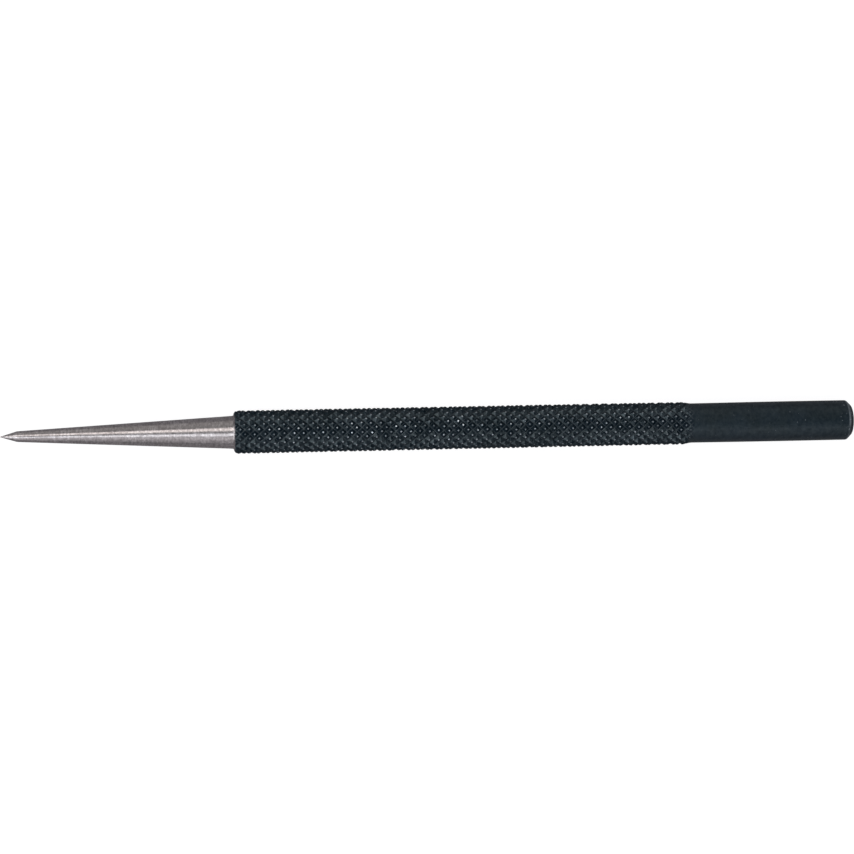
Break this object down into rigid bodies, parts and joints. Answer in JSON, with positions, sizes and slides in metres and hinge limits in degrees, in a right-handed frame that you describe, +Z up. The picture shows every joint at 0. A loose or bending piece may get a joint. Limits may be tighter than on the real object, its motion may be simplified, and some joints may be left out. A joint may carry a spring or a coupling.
{
  "type": "center punch",
  "caption": "Slim hand center punch: a ground tapered point with a short cone, a diamond-knurled grip, a plain blackened shank and a chamfered striking face.",
  "frame": {"origin": "centre of the flat struck face, on the punch's axis", "axes": "X along the punch's axis, with the head's struck face towards +X and the point towards -X; Z up with the punch lying down"},
  "size_m": [0.127, 0.0064, 0.0064],
  "materials": {
    "ground_steel": "bright, fine ground around the axis, satin",
    "black_oxide": "black oxide over steel, lightly oiled, low sheen with a blue-green cast"
  },
  "bodies": {
    "root": {"point": "ground_steel", "body": "black_oxide"}
  },
  "joints": []
}
